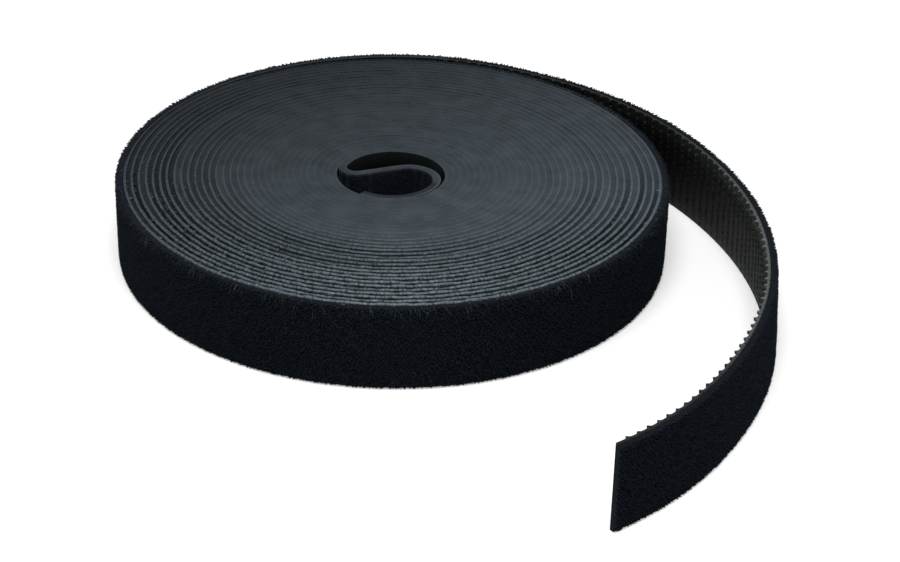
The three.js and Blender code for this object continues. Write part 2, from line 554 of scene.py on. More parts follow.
@dataclass(frozen=True)
class PileFinish:
    """Brushed loop pile: near-black fibres with painted shade at their roots and painted light at
    their tips, and a soft sheen.

    Attributes:
        name: Name of the material.
        root_shade: Colour at the roots, darkened as painted shade.
        tip: Colour at the tips, lightened as painted light.
        packed: Colour of the edge where the turns press it flat.
        packed_depth: Depth of that colour.
        painted_light: Painted light on that colour, lighter on one side of the part and darker on the
            other.
        streak: Size of a streak along the tape and across it.
        mottle: Least and greatest factor of the streaks.
        sheen_tint: Colour of the sheen.
    """

    name: str = "loop_pile"
    root_shade: Triple = (0.0040, 0.0058, 0.0090)
    tip: Triple = (0.0084, 0.0121, 0.0184)
    packed: Triple = (0.0385, 0.0490, 0.0580)
    packed_depth: float = 0.5 * MM
    painted_light: PaintedLight = PaintedLight(levels=(0.42, 1.24))
    streak: tuple[float, float] = (0.9 * MM, 2.4 * MM)
    mottle: tuple[float, float] = (0.85, 1.15)
    sheen_tint: Triple = (0.5, 0.72, 1.0)

    def material(self) -> Material:
        """Make the material of the loop web's ground and pile.

        Returns:
            The material.
        """
        shader = Shader(self.name)
        mottle = shader.span(shader.streaks(*self.streak), (*NOISE_BAND, *self.mottle))
        # Painted shade toward the pile's roots and painted light toward its tips, by each point's
        # reach.
        fibre = shader.shaded(shader.blend(shader.mark("reach"), self.root_shade, self.tip), mottle)
        # Painted light: the pressed colour is lighter on one side of the part and darker, as painted
        # shade, on the other.
        shade = shader.maths("MULTIPLY", shader.blotches(), shader.painted_light_factor(self.painted_light))
        pressed = shader.maths("MULTIPLY", shader.mark("packed"), shader.slit(self.packed_depth))
        shader.dress(
            Base_Color=shader.blend(pressed, fibre, shader.shaded(self.packed, shade)),
            Roughness=0.9,
            Specular_IOR_Level=0.28,
            IOR=1.3,
            Sheen_Weight=0.11,
            Sheen_Roughness=0.35,
            Sheen_Tint=self.sheen_tint,
            Normal=shader.bumps(6000.0, GRAIN_DEPTH, 0.6),
        )
        return shader.material


@dataclass(frozen=True)
class FibreFinish:
    """Stray fibres that catch the light.

    Attributes:
        name: Name of the material.
        dull: Colour of most fibres.
        bright: Colour of the few that catch the light.
        common: Values of a noise between which one colour turns into the other.
    """

    name: str = "stray_fibres"
    dull: Triple = (0.018, 0.0185, 0.020)
    bright: Triple = (0.12, 0.125, 0.125)
    common: tuple[float, float] = (0.48, 0.75)

    def material(self) -> Material:
        """Make the material of the fibres.

        Returns:
            The material.
        """
        shader = Shader(self.name)
        share = shader.span(shader.noise(700.0, 2.0), (*self.common, 0.0, 1.0))
        colour = shader.blend(share, self.dull, self.bright)
        shader.dress(Base_Color=colour, Roughness=0.6, IOR=1.5)
        return shader.material


@dataclass(frozen=True)
class FloorFinish:
    """White sweep that keeps the object's shadow, with painted shadow round the object where it glows
    less.

    Attributes:
        name: Name of the material.
        paint: Brightness of the paint.
        glow_and_painted_shadow: Glow for the camera near the object and far from it; the lower glow
            near the object is painted shadow.
        spread: Distances from the object between which the glow rises, so that the painted shadow
            fades.
    """

    name: str = "white_floor"
    paint: float = 0.8
    glow_and_painted_shadow: tuple[float, float] = (0.30, 0.60)
    spread: tuple[float, float] = (0.058, 0.11)

    def material(self) -> Material:
        """Make the material of the floor.

        Returns:
            The material.
        """
        shader = Shader(self.name)
        speck = shader.span(shader.noise(6.0, 2.0), (0.2, 0.8, 0.98 * self.paint, self.paint))
        away = shader.node("VectorMath", "Value", {0: shader.place()}, operation="LENGTH")
        # Painted shadow: less glow near the object, so the floor is darker round it.
        level = shader.span(away, (*self.spread, *self.glow_and_painted_shadow))
        seen = shader.node("LightPath", "Is Camera Ray", {})
        shader.dress(
            Base_Color=shader.node("CombineColor", 0, dict.fromkeys(range(3), speck)),
            Roughness=1.0,
            Specular_IOR_Level=0.0,
            Emission_Color=(1.0, 1.0, 1.0),
            Emission_Strength=shader.maths("MULTIPLY", seen, level),
        )
        return shader.material


@dataclass
class FlatPiece:
    """A piece modelled on the flat tape, ready to be wound onto the route.

    Attributes:
        name: Name of the finished piece.
        mesh: Mesh in distance along, offset to the loop side and height.
    """

    name: str
    mesh: bpy.types.Mesh

    @classmethod
    def of(cls, name: str, shape: bmesh.types.BMesh) -> "FlatPiece":
        """A piece with the given shape.

        Args:
            name: Name of the piece.
            shape: The shape, which is used up.

        Returns:
            The piece.
        """
        mesh = bpy.data.meshes.new(name)
        shape.to_mesh(mesh)
        shape.free()
        return cls(name, mesh)

    @classmethod
    def repeated(cls, name: str, shape: bmesh.types.BMesh, count: int) -> "FlatPiece":
        """A piece of many copies of one small shape, which still lie on each other.

        Args:
            name: Name of the piece.
            shape: The small shape, which is used up.
            count: Number of copies.

        Returns:
            The piece.
        """
        single = cls.of(name, shape).mesh
        holder = bpy.data.objects.new(name, single)
        bpy.context.scene.collection.objects.link(holder)
        array = holder.modifiers.new("copies", "ARRAY")
        array.count = count
        array.use_relative_offset = False
        view = bpy.context.evaluated_depsgraph_get()
        made = bpy.data.meshes.new_from_object(holder.evaluated_get(view))
        bpy.data.objects.remove(holder)
        bpy.data.meshes.remove(single)
        made.name = name
        return cls(name, made)

    def points(self) -> np.ndarray:
        """The piece's points on the flat tape.

        Returns:
            Rows of distance along, offset and height.
        """
        flat = np.empty(len(self.mesh.vertices) * 3)
        self.mesh.vertices.foreach_get("co", flat)
        return flat.reshape(-1, 3)

    def move(self, points: np.ndarray) -> None:
        """Put the piece's points at other places."""
        self.mesh.vertices.foreach_set("co", points.ravel())

    def tint(self, name: str, values: np.ndarray) -> None:
        """Keep one number for each point, for the finish to use.

        Args:
            name: Name that the finish knows it by.
            values: The numbers.
        """
        layer = self.mesh.attributes.new(name, "FLOAT", "POINT")
        layer.data.foreach_set("value", values.astype(np.float32))

    def wind(self, route: TapeRoute, material: Material, side: TapeSide) -> bpy.types.Object:
        """Wind the piece and make it an object.

        Args:
            route: Route of the tape.
            material: Finish of the piece.
            side: Web that the piece belongs to; not used.

        Returns:
            The object, in the row frame.
        """
        made = self.mesh
        flat = self.points()
        corners = np.empty(len(made.loops), int)
        made.loops.foreach_get("vertex_index", corners)
        tape = made.uv_layers.new(name="tape")
        tape.data.foreach_set("uv", flat[corners][:, (0, 2)].ravel())
        self.move(route.place(flat))
        made.update()
        made.shade_smooth()
        made.set_sharp_from_angle(angle=math.radians(60.0))
        made.materials.append(material)
        piece = bpy.data.objects.new(self.name, made)
        bpy.context.scene.collection.objects.link(piece)
        LOG.info("%s: %d faces", self.name, len(made.polygons))
        return piece


def bar(stations: np.ndarray, profile: np.ndarray) -> bmesh.types.BMesh:
    """Closed bar on the flat tape, of one profile.

    Args:
        stations: Distances along the tape, in order.
        profile: Rows of offset and height round the profile.

    Returns:
        The bar.
    """
    bm = bmesh.new()
    steps, around = len(stations) - 1, len(profile)
    bmesh.ops.create_grid(bm, x_segments=steps, y_segments=around, size=0.5)
    seam = []
    for vertex in bm.verts:
        column = round((vertex.co.x + 0.5) * steps)
        row = round((vertex.co.y + 0.5) * around)
        vertex.co = (stations[column], *profile[row % around])
        if row % around == 0:
            seam.append(vertex)
    bmesh.ops.remove_doubles(bm, verts=seam, dist=1e-7)
    bmesh.ops.holes_fill(bm, edges=[edge for edge in bm.edges if edge.is_boundary], sides=0)
    bmesh.ops.recalc_face_normals(bm, faces=bm.faces)
    return bm


def stations_between(start: float, end: float, spacing: float) -> np.ndarray:
    """Evenly spaced distances along the tape, both ends included."""
    return np.linspace(start, end, max(2, math.ceil((end - start) / spacing) + 1))


@dataclass(frozen=True)
class HookFilm:
    """Film of the hook web, with slit edges that are rounded and a little uneven.

    Attributes:
        inner: Offset of the hook side.
        outer: Offset of the bonded side.
        rounding: Radius of the corners on the bonded side.
        sharp: Size of the corners on the hook side.
        flush_radius: Radius within which the turns lie tight.
        round_radius: Radius from which they lie loose.
        slit: Short unevenness of the slit edge.
        level: Long unevenness of the slit edge.
        calm: Share of the unevenness that is left where the turns lie tight.
        calm_rounding: Share of the rounding that is left there.
        sway: Sideways unevenness as a share of the short one.
    """

    inner: float = -0.67 * MM
    outer: float = -0.27 * MM
    rounding: float = 0.22 * MM
    sharp: float = 0.04 * MM
    flush_radius: float = 17.0 * MM
    round_radius: float = 35.0 * MM
    slit: Wobble = Wobble(0.10 * MM, 1.1 * MM, 21)
    level: Wobble = Wobble(0.12 * MM, 61.0 * MM, 22)
    calm: float = 0.2
    calm_rounding: float = 0.15
    sway: float = 0.35

    def profile(self) -> np.ndarray:
        """Outline of the film, with its outer corners well rounded.

        Returns:
            Rows of offset and height.
        """
        turn = np.radians((90.0, 60.0, 30.0, 0.0))
        arc = self.rounding * (1.0 - np.sin(turn))
        offsets = self.outer - self.rounding * (1.0 - np.cos(turn))
        upper = np.column_stack((offsets, TAPE_WIDTH - arc))
        lower = np.column_stack((offsets, arc))[::-1]
        inside = np.array(
            (
                (self.inner + self.sharp, 0.0),
                (self.inner, self.sharp),
                (self.inner, TAPE_WIDTH - self.sharp),
                (self.inner + self.sharp, TAPE_WIDTH),
            )
        )
        return np.vstack((inside, upper, lower))

    def flat(self, name: str, stations: np.ndarray, route: TapeRoute) -> FlatPiece:
        """A length of film.

        Args:
            name: Name of the piece.
            stations: Distances along the tape.
            route: Route of the tape, which says how loose the film lies.

        Returns:
            The film on the flat tape.
        """
        piece = FlatPiece.of(name, bar(stations, self.profile()))
        points = piece.points()
        along, offset, height = points.T
        share = route.loose_at(along, self.flush_radius, self.round_radius)
        free = self.calm + (1.0 - self.calm) * share
        rise = (self.level.at(along) + self.slit.at(along)) * free
        sway = self.sway * self.slit.at(along * 1.37 + 0.41) * free
        upper = height > TAPE_WIDTH / 2
        rounded = self.calm_rounding + (1.0 - self.calm_rounding) * share
        corner = (TAPE_WIDTH - height) * rounded
        near_edge = upper & (height > TAPE_WIDTH - 1.01 * self.rounding)
        height = np.where(near_edge, TAPE_WIDTH - corner, height)
        height = np.where(upper, height + rise, height + 0.5 * np.abs(rise))
        piece.move(np.column_stack((along, offset + upper * sway, height)))
        piece.tint("packed", 1.0 - share)
        return piece


@dataclass(frozen=True)
class SlitHooks:
    """Hooks that the slitting blade cut through along the film's top edge.

    Attributes:
        pitch: Distance between two hooks along the tape.
        present: Chance of a hook to reach the edge, before the square of the looseness.
        least: Least size in millimetres along the tape, out of the film and across the tape.
        most: Greatest size.
        sink: Least and greatest depth below the film's edge in millimetres.
        lean: Greatest lean along the tape in millimetres.
        taper: Share by which a hook is narrower at its end.
        seed: Seed of their differences.
    """

    pitch: float = 1.9 * MM
    present: float = 1.2
    least: Triple = (0.40, 0.25, 0.5)
    most: Triple = (0.75, 0.55, 1.0)
    sink: tuple[float, float] = (0.14, 0.45)
    lean: float = 0.16
    taper: float = 0.35
    seed: int = 61

    def flat(self, name: str, start: float, end: float, route: TapeRoute) -> FlatPiece:
        """Cut hooks of a length of film, most of them where the turns lie loose.

        Args:
            name: Name of the piece.
            start: Distance along the tape where the length starts.
            end: Distance along the tape where it ends.
            route: Route of the tape, which says how loose the turns lie.

        Returns:
            The hooks on the flat tape.
        """
        rng = np.random.default_rng(self.seed)
        columns = np.arange(math.ceil(start / self.pitch), math.floor(end / self.pitch))
        loose = route.loose_at(columns * self.pitch, HookFilm.flush_radius, HookFilm.round_radius)
        along = columns[rng.random(len(columns)) < self.present * loose**2] * self.pitch
        shape = bmesh.new()
        bmesh.ops.create_cube(shape, size=1.0)
        piece = FlatPiece.repeated(name, shape, len(along))
        count = len(along)
        corner = piece.points().reshape(count, -1, 3)
        size = rng.uniform(self.least, self.most, (count, 3)) * MM
        sink = rng.uniform(*self.sink, count) * MM
        lean = rng.uniform(-self.lean, self.lean, count) * MM
        out = 0.5 - corner[:, :, 1]
        taper = 1.0 - self.taper * out
        x = along[:, None] + corner[:, :, 0] * size[:, :1] * taper + lean[:, None] * out
        y = HookFilm.inner + 0.03 * MM - out * size[:, 1:2]
        top = TAPE_WIDTH - sink + HookFilm.level.at(along)
        z = top[:, None] - (0.5 - corner[:, :, 2]) * size[:, 2:]
        piece.move(np.stack((x, y, z), axis=2).reshape(-1, 3))
        return piece


@dataclass(frozen=True)
class Fibres:
    """Loose fibres: thin three-sided hairs that curve.

    Attributes:
        seed: Seed of their differences.
        radius: Greatest radius of a fibre.
    """

    seed: int
    radius: float = 0.03 * MM

    def flat(self, name: str, roots: np.ndarray, aims: np.ndarray, bends: np.ndarray) -> FlatPiece:
        """Fibres on the flat tape.

        Args:
            name: Name of the piece.
            roots: Where they start.
            aims: Where each would end if it were straight, from its start.
            bends: How far the end of each is bent away.

        Returns:
            The fibres.
        """
        shape = bmesh.new()
        bmesh.ops.create_cone(shape, cap_ends=True, segments=3, radius1=1.0, radius2=0.4, depth=1.0)
        long = [edge for edge in shape.edges if abs(edge.verts[0].co.z - edge.verts[1].co.z) > 0.5]
        bmesh.ops.subdivide_edges(shape, edges=long, cuts=2)
        piece = FlatPiece.repeated(name, shape, len(roots))
        hair = piece.points().reshape(len(roots), -1, 3)
        rng = np.random.default_rng(self.seed)
        share = hair[:, :, 2:] + 0.5
        course = aims / np.linalg.norm(aims, axis=1, keepdims=True)
        beside = np.cross(course, rng.normal(size=course.shape))
        beside /= np.linalg.norm(beside, axis=1, keepdims=True)
        across = np.cross(course, beside)
        thick = self.radius * rng.uniform(0.55, 1.0, (len(roots), 1, 1))
        spread = thick * (hair[:, :, :1] * beside[:, None] + hair[:, :, 1:2] * across[:, None])
        curve = roots[:, None] + share * aims[:, None] + share**2 * bends[:, None]
        piece.move((curve + spread).reshape(-1, 3))
        return piece

    def fringe(self, name: str, start: float, end: float, each: float) -> FlatPiece:
        """Fibres that hang over the pile's top edge.

        Args:
            name: Name of the piece.
            start: Distance along the tape where they start.
            end: Distance along the tape where they end.
            each: Distance along the tape for each fibre.

        Returns:
            The fibres.
        """
        rng = np.random.default_rng(self.seed + round(start / MM))
        count = round((end - start) / each)
        size = rng.uniform(0.6, 1.5, count) ** 2 * MM
        roots = rng.uniform((start, -0.25 * MM, -0.30 * MM), (end, 0.45 * MM, 0.0), (count, 3))
        roots[:, 2] += TAPE_WIDTH
        reach = np.column_stack((size, np.full(count, MM), np.full(count, MM)))
        drop = np.column_stack((size, np.full(count, MM), size))
        aims = rng.uniform((-0.5, 0.75, 0.0), (0.5, 1.15, 0.2), (count, 3)) * reach
        bends = rng.uniform((-0.3, -0.25, -1.1), (0.3, 0.0, -0.5), (count, 3)) * drop
        return self.flat(name, roots, aims, bends)

    def cut_ends(self, name: str, start: float, end: float, route: TapeRoute) -> FlatPiece:
        """Short cut ends along the top edge of the turns that lie loose.

        Args:
            name: Name of the piece.
            start: Distance along the tape where they start.
            end: Distance along the tape where they end.
            route: Route of the tape, which says how loose the turns lie.

        Returns:
            The cut ends.
        """
        rng = np.random.default_rng(self.seed)
        along = rng.uniform(start, end, round((end - start) / (0.4 * MM)))
        loose = route.loose_at(along, HookFilm.flush_radius, HookFilm.round_radius)
        along = along[rng.random(len(along)) < 0.7 * loose**2]
        count = len(along)
        roots = rng.uniform((0.0, -0.75 * MM, -0.12 * MM), (0.0, 0.35 * MM, 0.02 * MM), (count, 3))
        roots += np.column_stack((along, np.zeros(count), np.full(count, TAPE_WIDTH)))
        aims = rng.uniform((-0.5, -0.15, 0.0), (0.5, 0.15, 0.12), (count, 3)) * MM
        bends = rng.uniform((-0.1, -0.1, -0.1), (0.1, 0.1, 0.05), (count, 3)) * MM
        return self.flat(name, roots, aims, bends)

    def strays(self, name: str, start: float, end: float, each: float) -> FlatPiece:
        """Fibres that stand out of the pile's face.

        Args:
            name: Name of the piece.
            start: Distance along the tape where they start.
            end: Distance along the tape where they end.
            each: Distance along the tape for each fibre.

        Returns:
            The fibres.
        """
        rng = np.random.default_rng(self.seed + round(start / MM))
        count = round((end - start) / each)
        size = rng.uniform(0.5, 1.1, count) * MM
        roots = rng.uniform((start, 0.30 * MM, 1.5 * MM), (end, 0.45 * MM, TAPE_WIDTH), (count, 3))
        aims = rng.uniform((-0.8, 0.25, -0.8), (0.8, 0.62, 0.8), (count, 3)) * size[:, None]
        bends = rng.uniform((-0.3, -0.30, -0.5), (0.3, -0.05, 0.1), (count, 3)) * size[:, None]
        return self.flat(name, roots, aims, bends)


@dataclass(frozen=True)
class LoopGround:
    """Knitted ground of the loop web between two turns, with fibre ends along its top edge.

    Attributes:
        inner: Offset of the bonded side.
        outer: Offset of the side that the next turn presses on.
        free: Greatest thickening where nothing presses on it.
        free_end: Distance along the tape up to which the inner end is brushed.
        recess: Depth of the top edge below the film's, where the turns lie loose.
        flush_radius: Radius within which the turns lie tight.
        deep_radius: Radius from which they lie loose.
        uneven: Differences in looseness along the tape.
        tuft_shift: How far a tuft moves along the tape and across it, for 1 mm of chance.
        tuft_rise: How far it rises, where the turns lie tight and what is added where loose.
        pressed: How pressed the brushed end, the rest of the S and the loosest turns look.
        seed: Seed of the fibre ends.
    """

    inner: float = -0.30 * MM
    outer: float = 0.42 * MM
    free: float = 0.08 * MM
    free_end: float = 13.0 * MM
    recess: float = 0.75 * MM
    flush_radius: float = 20.0 * MM
    deep_radius: float = 36.0 * MM
    uneven: Wobble = Wobble(0.55, 38.0 * MM, 33)
    tuft_shift: tuple[float, float] = (0.20, 0.12)
    tuft_rise: tuple[float, float] = (0.06, 0.16)
    pressed: Triple = (0.3, 0.85, 0.06)
    seed: int = 31

    def flat(self, name: str, stations: np.ndarray, route: TapeRoute) -> FlatPiece:
        """A length of the ground whose top edge is fuzzy.

        Args:
            name: Name of the piece.
            stations: Distances along the tape.
            route: Route of the tape, which says how far the edge lies back.

        Returns:
            The ground on the flat tape.
        """
        middle = (self.inner + self.outer) / 2
        profile = np.array(
            (
                (self.inner, 0.1 * MM),
                (self.inner, TAPE_WIDTH),
                (middle, TAPE_WIDTH),
                (self.outer, TAPE_WIDTH),
                (self.outer, 0.1 * MM),
            )
        )
        shape = bar(stations, profile)
        tops = [face for face in shape.faces if face.calc_center_median().z > 0.99 * TAPE_WIDTH]
        tips = bmesh.ops.poke(shape, faces=tops)["verts"]
        shape.verts.index_update()
        is_tip = np.zeros(len(shape.verts), bool)
        is_tip[[vertex.index for vertex in tips]] = True
        piece = FlatPiece.of(name, shape)
        points = piece.points()
        deep = route.loose_at(points[:, 0], self.flush_radius, self.deep_radius)
        deep = np.clip(deep * (1.0 + self.uneven.at(points[:, 0])), 0.0, 1.0)
        shake = np.random.default_rng(self.seed).uniform(-1.0, 1.0, points.shape) * MM
        before = route.spiral_start - points[:, 0]
        wedge = np.minimum(0.19 * before**2 / MM, self.free)
        points[:, 1] += (before > 0.0) * (points[:, 1] > middle + 0.01 * MM) * wedge
        upper = points[:, 2] > TAPE_WIDTH / 2
        tuft = upper & is_tip
        points[:, 2] -= upper * (self.recess * deep + 0.02 * MM)
        points[:, :2] += tuft[:, None] * self.tuft_shift * shake[:, :2]
        rise = self.tuft_rise[0] + self.tuft_rise[1] * deep
        points[:, 2] += tuft * (0.01 * MM + rise * np.maximum(0.0, shake[:, 2]))
        points[:, 2] += (upper & ~is_tip) * 0.06 * shake[:, 2] * deep
        piece.move(points)
        end, bend, loosest = self.pressed
        pressed = np.where(before > 0.0, bend, 1.0 - (1.0 - loosest) * deep)
        piece.tint("packed", np.where(points[:, 0] < self.free_end, end, pressed))
        # Reach is 1 at the tufts' tips, which the finish paints lighter as painted light, and low
        # elsewhere, which it paints darker as painted shade.
        piece.tint("reach", np.where(is_tip, 1.0, 0.1))
        return piece


@dataclass(frozen=True)
class Pile:
    """Brushed pile: a mat of small leaning tufts on a thin backing.

    Attributes:
        back: Offset of the backing.
        valley: Offset of the valleys between tufts.
        low: Least height of a tuft above the valley.
        high: Greatest height of a tuft above the valley.
        cell: Size of a tuft's foot.
        clump: Size along and across the tape of the clumps that the tufts form.
        crest: Height by which the tufts of the top row lean up over the edge.
        shake: Unevenness of the valleys as a share of a tuft's foot.
        cover: Least distance of the valleys from what lies over the pile.
        luck: Share of a tuft's height that is its own and not its clump's.
        seed: Seed of the tufts.
    """

    back: float = -0.14 * MM
    valley: float = 0.34 * MM
    low: float = 0.36 * MM
    high: float = 0.64 * MM
    cell: float = 0.28 * MM
    clump: tuple[float, float] = (0.55 * MM, 1.6 * MM)
    crest: float = 0.15 * MM
    shake: float = 0.32
    cover: float = 0.15 * MM
    luck: float = 0.25
    seed: int = 41

    def limits(self, vertices: list[bmesh.types.BMVert], room: "np.ndarray | None") -> np.ndarray:
        """Greatest offset of each vertex under what lies over the pile.

        Args:
            vertices: The vertices.
            room: Rows of distance along and greatest offset there, if something lies over the pile.

        Returns:
            The offsets.
        """
        if room is None:
            return np.full(len(vertices), math.inf)
        return np.interp([vertex.co.x for vertex in vertices], room[:, 0], room[:, 1])

    def flat(self, name: str, start: float, end: float, room: "np.ndarray | None" = None) -> FlatPiece:
        """A length of pile.

        Args:
            name: Name of the piece.
            start: Distance along the tape where it starts.
            end: Distance along the tape where it ends.
            room: Rows of distance along and greatest offset there, where something lies over the pile.

        Returns:
            The pile on the flat tape.
        """
        columns = max(2, round((end - start) / self.cell))
        rows = round(TAPE_WIDTH / self.cell)
        bm = bmesh.new()
        # Reach of each point: the finish paints points of low reach darker, as painted shade, and the
        # tips and rim lighter, as painted light.
        reach = bm.verts.layers.float.new("reach")
        bmesh.ops.create_grid(bm, x_segments=columns, y_segments=rows, size=0.5)
        for vertex in bm.verts:
            along = start + (vertex.co.x + 0.5) * (end - start)
            height = 0.06 * MM + (vertex.co.y + 0.5) * (TAPE_WIDTH - 0.12 * MM)
            vertex.co = (along, self.back, height)
        outer = bm.faces[:]
        for _ in range(2):
            raised = bmesh.ops.extrude_face_region(bm, geom=outer)["geom"]
            outer = [part for part in raised if isinstance(part, bmesh.types.BMFace)]
            mat = [part for part in raised if isinstance(part, bmesh.types.BMVert)]
            bmesh.ops.translate(bm, verts=mat, vec=(0.0, (self.valley - self.back) / 2, 0.0))
        level = TAPE_WIDTH - 0.1 * MM
        rim = [face for face in bm.faces if all(vertex.co.z > level for vertex in face.verts)]
        rng = np.random.default_rng(self.seed + round(start / MM))
        shake = rng.uniform(-1.0, 1.0, (len(mat), 3)) * self.shake * self.cell
        limits = self.limits(mat, room)
        for vertex, (aside, out, up), limit in zip(mat, shake, limits):
            if start < vertex.co.x - self.cell / 2 and vertex.co.x + self.cell / 2 < end:
                vertex.co.x += aside
                vertex.co.y += out
                vertex.co.z += up * (0.2 * MM < vertex.co.z < TAPE_WIDTH - 0.2 * MM)
            vertex.co.y = min(vertex.co.y, limit - self.cover)
        tips = bmesh.ops.poke(bm, faces=outer)["verts"]
        lean = rng.uniform(-1.0, 1.0, (len(tips), 2))
        luck = rng.uniform(0.0, 1.0, len(tips))
        limits = self.limits(tips, room)
        for vertex, (aside, up), chance, limit in zip(tips, lean, luck, limits):
            spot = Vector((vertex.co.x / self.clump[0], vertex.co.z / self.clump[1], 0.3))
            clump = 0.5 + 0.5 * noise.noise(spot)
            share = self.luck * chance + (1.0 - self.luck) * clump
            height = self.low + (self.high - self.low) * share
            height *= 0.70 + 0.30 * min(1.0, vertex.co.z / (0.6 * MM))
            edge = max(0.0, 2.0 * vertex.co.z / TAPE_WIDTH - 1.0) ** 9
            vertex.co.x += 0.9 * self.cell * aside
            vertex.co.y = min(vertex.co.y + height, limit)
            vertex.co.z += 0.6 * self.cell * up + self.crest * edge
            vertex.co.z = max(vertex.co.z, 0.02 * MM)
            vertex[reach] = 1.0
        for vertex in bmesh.ops.poke(bm, faces=rim)["verts"]:
            aside, out, up = rng.uniform(-1.0, 1.0, 3)
            vertex.co.x += 0.5 * self.cell * aside
            vertex.co.y += 0.5 * self.cell * out
            vertex.co.z += self.crest * (0.45 + 0.35 * up)
            vertex[reach] = 0.6
        bmesh.ops.recalc_face_normals(bm, faces=bm.faces)
        return FlatPiece.of(name, bm)


@dataclass(frozen=True)
class HookRows:
    """Moulded hooks that stand on the film in upright columns, with hollows between the columns.

    Attributes:
        pitch: Distance between two columns along the tape.
        rows: Hooks in one column.
        margin: Least distance of a hook's foot from the lower edge.
        foot: Size of a hook's foot along the tape, out of the film and across the tape.
        foot_offset: Offset of the foot's middle.
        least: Height of the lowest hooks as a share of the highest ones.
        power: How late in a column the hooks get higher.
        seed: Seed of the small differences between hooks.
    """

    pitch: float = 1.9 * MM
    rows: int = 13
    margin: float = 0.2 * MM
    foot: Triple = (1.00 * MM, 0.20 * MM, 0.88 * MM)
    foot_offset: float = -0.59 * MM
    least: float = 0.4
    power: int = 4
    seed: int = 51

    def single(self) -> bmesh.types.BMesh:
        """One hook: a wide foot and a stem that narrows, whose end bends over.

        Returns:
            The hook, at the start of the tape and at height 0.
        """
        bm = bmesh.new()
        bmesh.ops.create_cube(bm, size=1.0)
        bmesh.ops.scale(bm, vec=self.foot, verts=bm.verts)
        bmesh.ops.translate(bm, vec=(0.0, self.foot_offset, 0.0), verts=bm.verts)
        end = min(bm.faces, key=lambda face: face.calc_center_median().y)
        moves = (
            (0.0, -0.03, 0.60, 0.0),
            (0.01, -0.07, 0.60, 4.0),
            (0.04, -0.13, 0.70, 12.0),
            (0.08, -0.12, 0.70, 30.0),
        )
        for along, out, shrink, turn in moves:
            end = bmesh.ops.extrude_discrete_faces(bm, faces=[end])["faces"][0]
            corners = list(end.verts)
            bmesh.ops.translate(bm, verts=corners, vec=(along * MM, out * MM, 0.0))
            centre = end.calc_center_median()
            swing = Matrix.Rotation(math.radians(turn), 3, "Z")
            bmesh.ops.rotate(bm, verts=corners, cent=centre, matrix=swing)
            space = Matrix.Translation(-centre)
            bmesh.ops.scale(bm, verts=corners, vec=(shrink, shrink, 0.86), space=space)
        bmesh.ops.recalc_face_normals(bm, faces=bm.faces)
        return bm

    def columns(self, start: float, end: float) -> np.ndarray:
        """Places of the columns of a length of film.

        Args:
            start: Distance along the tape where the length starts.
            end: Distance along the tape where it ends.

        Returns:
            Distances along the tape.
        """
        first = math.ceil(start / self.pitch - 0.5)
        last = math.ceil(end / self.pitch - 0.5)
        return (np.arange(first, last) + 0.5) * self.pitch

    def flat(self, name: str, columns: np.ndarray, tall: float, top: float) -> FlatPiece:
        """Hooks of some columns.

        Args:
            name: Name of the piece.
            columns: Distances along the tape of the columns.
            tall: Height of the hooks as a share of the full one.
            top: Height up to which there are hooks.

        Returns:
            The hooks on the flat tape.
        """
        count = len(columns) * self.rows
        piece = FlatPiece.repeated(name, self.single(), count)
        hook = piece.points().reshape(count, -1, 3)
        rng = np.random.default_rng(self.seed + round(columns[0] / MM))
        gap = (top - self.margin) / self.rows
        along = np.repeat(columns, self.rows)
        row = np.tile(np.arange(self.rows), len(columns))
        height = self.margin + (row + 0.5) * gap + rng.uniform(-0.05, 0.05, count) * MM
        height += (row == self.rows - 1) * max(0.0, top - TAPE_WIDTH + 0.25 * MM)
        lean = rng.uniform(-0.15, 0.15, count)
        out = hook[:, :, 1] - HookFilm.inner
        x = hook[:, :, 0] + along[:, None]
        share = ((row + 1.0) / self.rows) ** self.power
        rise = tall * (self.least + (1.0 - self.least) * share)
        y = HookFilm.inner + rise[:, None] * rng.uniform(0.85, 1.1, (count, 1)) * out
        z = hook[:, :, 2] + height[:, None] + lean[:, None] * out
        z = np.clip(z, 0.03 * MM, TAPE_WIDTH - 0.02 * MM)
        piece.move(np.stack((x, y, z), axis=2).reshape(-1, 3))
        return piece


@dataclass
class TapeLength:
    """A sub-assembly of the tape.

    Attributes:
        route: Route of the tape.
        film: Finish of the hook web.
        pile: Finish of the loop web.
    """

    route: TapeRoute
    film: Material
    pile: Material

    def hook_side(self, flat: FlatPiece) -> bpy.types.Object:
        """Wind a piece of the hook web."""
        return flat.wind(self.route, self.film, TapeSide.HOOK)

    def loop_side(self, flat: FlatPiece) -> bpy.types.Object:
        """Wind a piece of the loop web."""
        return flat.wind(self.route, self.pile, TapeSide.LOOP)


